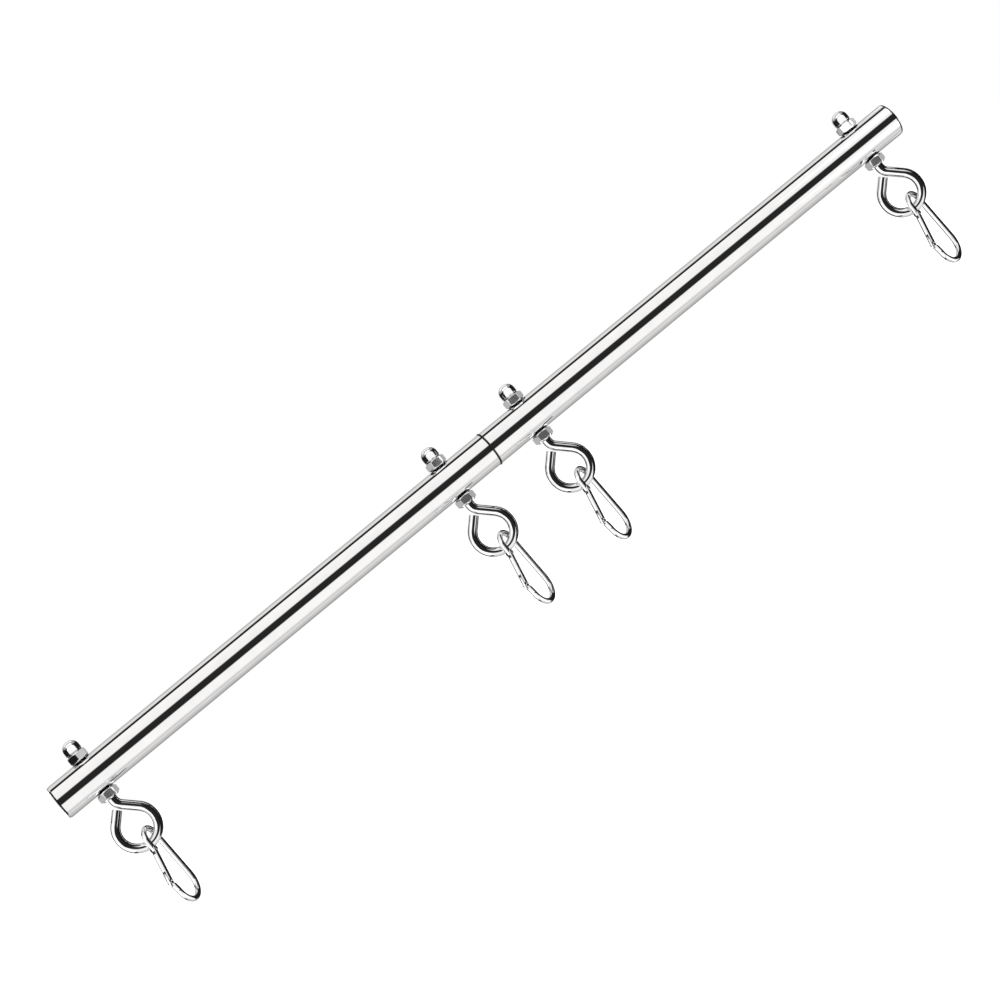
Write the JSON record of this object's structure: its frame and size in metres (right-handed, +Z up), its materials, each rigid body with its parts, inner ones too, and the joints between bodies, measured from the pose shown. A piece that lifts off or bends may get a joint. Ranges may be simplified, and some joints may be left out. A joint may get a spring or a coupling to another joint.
{
  "type": "spreader bar",
  "caption": "Polished take-apart spreader bar: two tubes screwed end to end, eye bolts through them, and a spring snap hook hanging in each eye.",
  "frame": {"origin": "on the tubes' axis, in the middle of the joint between the two halves", "axes": "+X along the bar towards the half that unscrews, +Z up through the cap nuts, so the eyes and hooks hang towards -Z"},
  "size_m": [0.7352, 0.03, 0.133],
  "materials": {
    "polished_tube": "mirror-polished steel tube with fine lengthwise polishing lines",
    "end_cap": "polished domed end cap",
    "nut_steel": "bright plated nut with softly brushed flats",
    "eye_steel": "polished bent wire with a cut end",
    "hook_steel": "bright plated wire hook and gate",
    "pin_steel": "bright drawn rivet, latch pin and spring wire",
    "joint_steel": "turned steel with machining marks",
    "black_washer": "matt black fibre washer"
  },
  "bodies": {
    "left_half": {"left_tube": "polished_tube", "left_end_cap": "end_cap", "left_joint_plug": "joint_steel"},
    "washer": {"seam_washer": "black_washer"},
    "right_half": {"right_tube": "polished_tube", "right_end_cap": "end_cap", "right_joint_plug": "joint_steel", "joining_stud": "joint_steel"},
    "left_outer_eye": {"left_outer_eye_bolt": "eye_steel", "left_outer_hex_nut": "nut_steel", "left_outer_cap_nut": "nut_steel"},
    "left_outer_hook": {"left_outer_hook_body": "hook_steel", "left_outer_gate_rivet": "pin_steel", "left_outer_latch_pin": "pin_steel"},
    "left_outer_gate": {"left_outer_gate": "hook_steel", "left_outer_gate_spring": "pin_steel"},
    "left_inner_eye": {"left_inner_eye_bolt": "eye_steel", "left_inner_hex_nut": "nut_steel", "left_inner_cap_nut": "nut_steel"},
    "left_inner_hook": {"left_inner_hook_body": "hook_steel", "left_inner_gate_rivet": "pin_steel", "left_inner_latch_pin": "pin_steel"},
    "left_inner_gate": {"left_inner_gate": "hook_steel", "left_inner_gate_spring": "pin_steel"},
    "right_inner_eye": {"right_inner_eye_bolt": "eye_steel", "right_inner_hex_nut": "nut_steel", "right_inner_cap_nut": "nut_steel"},
    "right_inner_hook": {"right_inner_hook_body": "hook_steel", "right_inner_gate_rivet": "pin_steel", "right_inner_latch_pin": "pin_steel"},
    "right_inner_gate": {"right_inner_gate": "hook_steel", "right_inner_gate_spring": "pin_steel"},
    "right_outer_eye": {"right_outer_eye_bolt": "eye_steel", "right_outer_hex_nut": "nut_steel", "right_outer_cap_nut": "nut_steel"},
    "right_outer_hook": {"right_outer_hook_body": "hook_steel", "right_outer_gate_rivet": "pin_steel", "right_outer_latch_pin": "pin_steel"},
    "right_outer_gate": {"right_outer_gate": "hook_steel", "right_outer_gate_spring": "pin_steel"}
  },
  "joints": [
    {"name": "seam_slide", "type": "slide", "parent": "left_half", "child": "washer", "axis": [1, 0, 0], "range_m": [0, 0.0211]},
    {"name": "seam_screw", "type": "hinge", "parent": "washer", "child": "right_half", "pos_m": [0, 0, 0], "axis": [1, 0, 0], "range_deg": [0, 4320]},
    {"name": "left_outer_eye_turn", "type": "hinge", "parent": "left_half", "child": "left_outer_eye", "pos_m": [-0.337, 0, 0], "axis": [0, 0, 1], "continuous": true},
    {"name": "left_outer_hook_swing", "type": "hinge", "parent": "left_outer_eye", "child": "left_outer_hook", "pos_m": [-0.33375, 0.00051, -0.05661], "axis": [0.9643, 0.1527, 0.2164], "range_deg": [-100, 140]},
    {"name": "left_outer_gate_open", "type": "hinge", "parent": "left_outer_hook", "child": "left_outer_gate", "pos_m": [-0.33703, -0.00549, -0.06209], "axis": [0.8952, -0.4428, -0.05], "range_deg": [0, 40], "stiffness_Nm_per_rad": 0.02, "springref_deg": -8.59},
    {"name": "left_inner_eye_turn", "type": "hinge", "parent": "left_half", "child": "left_inner_eye", "pos_m": [-0.034, 0, 0], "axis": [0, 0, 1], "continuous": true},
    {"name": "left_inner_hook_swing", "type": "hinge", "parent": "left_inner_eye", "child": "left_inner_hook", "pos_m": [-0.03071, -0.00011, -0.05661], "axis": [0.9757, -0.0341, 0.2164], "range_deg": [-100, 140]},
    {"name": "left_inner_gate_open", "type": "hinge", "parent": "left_inner_hook", "child": "left_inner_gate", "pos_m": [-0.03507, -0.00539, -0.06209], "axis": [0.7943, -0.6055, -0.05], "range_deg": [0, 40], "stiffness_Nm_per_rad": 0.02, "springref_deg": -8.59},
    {"name": "right_inner_eye_turn", "type": "hinge", "parent": "right_half", "child": "right_inner_eye", "pos_m": [0.034, 0, 0], "axis": [0, 0, 1], "continuous": true},
    {"name": "right_inner_hook_swing", "type": "hinge", "parent": "right_inner_eye", "child": "right_inner_hook", "pos_m": [0.03728, -0.00023, -0.05661], "axis": [0.9739, -0.0681, 0.2164], "range_deg": [-100, 140]},
    {"name": "right_inner_gate_open", "type": "hinge", "parent": "right_inner_hook", "child": "right_inner_gate", "pos_m": [0.03274, -0.00535, -0.06209], "axis": [0.7727, -0.6328, -0.05], "range_deg": [0, 40], "stiffness_Nm_per_rad": 0.02, "springref_deg": -8.59},
    {"name": "right_outer_eye_turn", "type": "hinge", "parent": "right_half", "child": "right_outer_eye", "pos_m": [0.337, 0, 0], "axis": [0, 0, 1], "continuous": true},
    {"name": "right_outer_hook_swing", "type": "hinge", "parent": "right_outer_eye", "child": "right_outer_hook", "pos_m": [0.34019, -0.00082, -0.05661], "axis": [0.9452, -0.2444, 0.2164], "range_deg": [-100, 140]},
    {"name": "right_outer_gate_open", "type": "hinge", "parent": "right_outer_hook", "child": "right_outer_gate", "pos_m": [0.33479, -0.00503, -0.06209], "axis": [0.6444, -0.763, -0.05], "range_deg": [0, 40], "stiffness_Nm_per_rad": 0.02, "springref_deg": -8.59}
  ],
  "couplings": [
    {"joint": "seam_slide", "follows": "seam_screw", "m_per_rad": 0.00027852}
  ]
}
